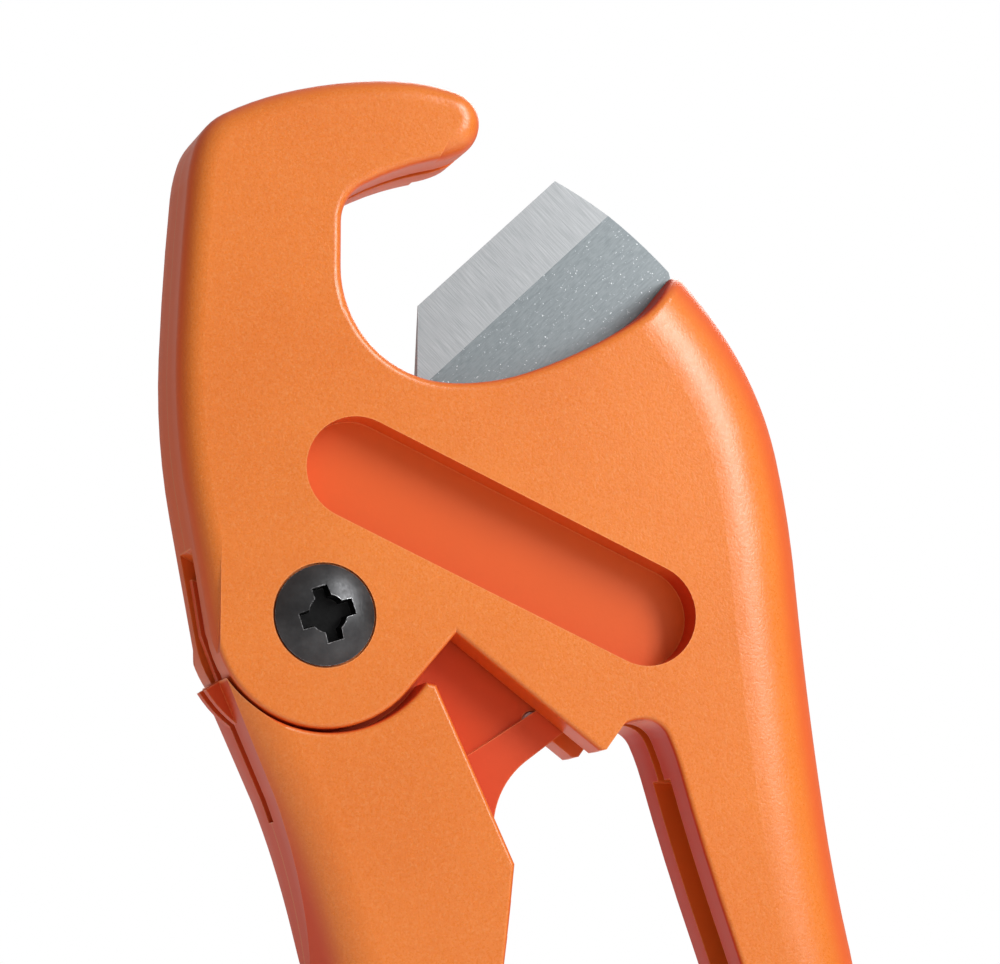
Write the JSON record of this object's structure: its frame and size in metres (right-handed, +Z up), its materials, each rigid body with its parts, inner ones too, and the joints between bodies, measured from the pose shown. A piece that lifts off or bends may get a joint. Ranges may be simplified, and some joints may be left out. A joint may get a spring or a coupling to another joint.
{
  "type": "pipe cutter",
  "caption": "Ratchet cutter for plastic pipe: hooked jaw, steel blade on a large pivot screw, lever with pawl, fixed grip and lock latch.",
  "frame": {"origin": "where the pivot axis meets the flat rear face; the sleeve's flush flange fills that face there", "axes": "+X from the lever to the fixed grip, +Y out of the rear face along the pivot axis, +Z up toward the hooked jaw"},
  "size_m": [0.1411, 0.0288, 0.2332],
  "materials": {
    "orange_plastic": "satin, fine moulded grain",
    "blade_steel": "ground",
    "black_steel": "black oxide, satin",
    "pawl_steel": "satin",
    "pin_steel": "satin",
    "spring_steel": "satin",
    "washer_plastic": "matte",
    "latch_plastic": "satin"
  },
  "bodies": {
    "body": {"front_shell": "orange_plastic", "rear_shell": "orange_plastic", "shell_screws": "black_steel", "pivot_barrel": "black_steel", "pivot_screw": "black_steel", "holding_pawl_pin": "pin_steel", "holding_pawl_spring": "spring_steel", "lever_return_spring": "spring_steel", "blade_return_spring": "spring_steel", "latch_pin": "pin_steel"},
    "blade": {"cutting_blade": "blade_steel", "blade_washers": "washer_plastic"},
    "lever": {"lever_front_half": "orange_plastic", "lever_rear_half": "orange_plastic", "lever_screws": "black_steel", "drive_pawl_pin": "pin_steel", "drive_pawl_spring": "spring_steel", "latch_catch_pin": "pin_steel"},
    "drive_pawl": {"drive_pawl": "pawl_steel"},
    "holding_pawl": {"holding_pawl": "pawl_steel"},
    "latch": {"lock_latch": "latch_plastic"}
  },
  "joints": [
    {"name": "lever_swing", "type": "hinge", "parent": "body", "child": "lever", "pos_m": [0, -0.013, 0], "axis": [0, -1, 0], "range_deg": [-6, 10]},
    {"name": "blade_swing", "type": "hinge", "parent": "body", "child": "blade", "pos_m": [0, -0.013, 0], "axis": [0, -1, 0], "range_deg": [-20, 21]},
    {"name": "drive_pawl_lift", "type": "hinge", "parent": "lever", "child": "drive_pawl", "pos_m": [0.04326, -0.013, -0.01836], "axis": [0, -1, 0], "range_deg": [-8, 0], "deforming": ["drive_pawl_spring"]},
    {"name": "holding_pawl_lift", "type": "hinge", "parent": "body", "child": "holding_pawl", "pos_m": [0.04665, -0.013, 0.00573], "axis": [0, -1, 0], "range_deg": [-8, 0]},
    {"name": "lock_latch_swing", "type": "hinge", "parent": "body", "child": "latch", "pos_m": [0.097, -0.013, -0.106], "axis": [0, -1, 0], "range_deg": [0, 76.4]}
  ]
}
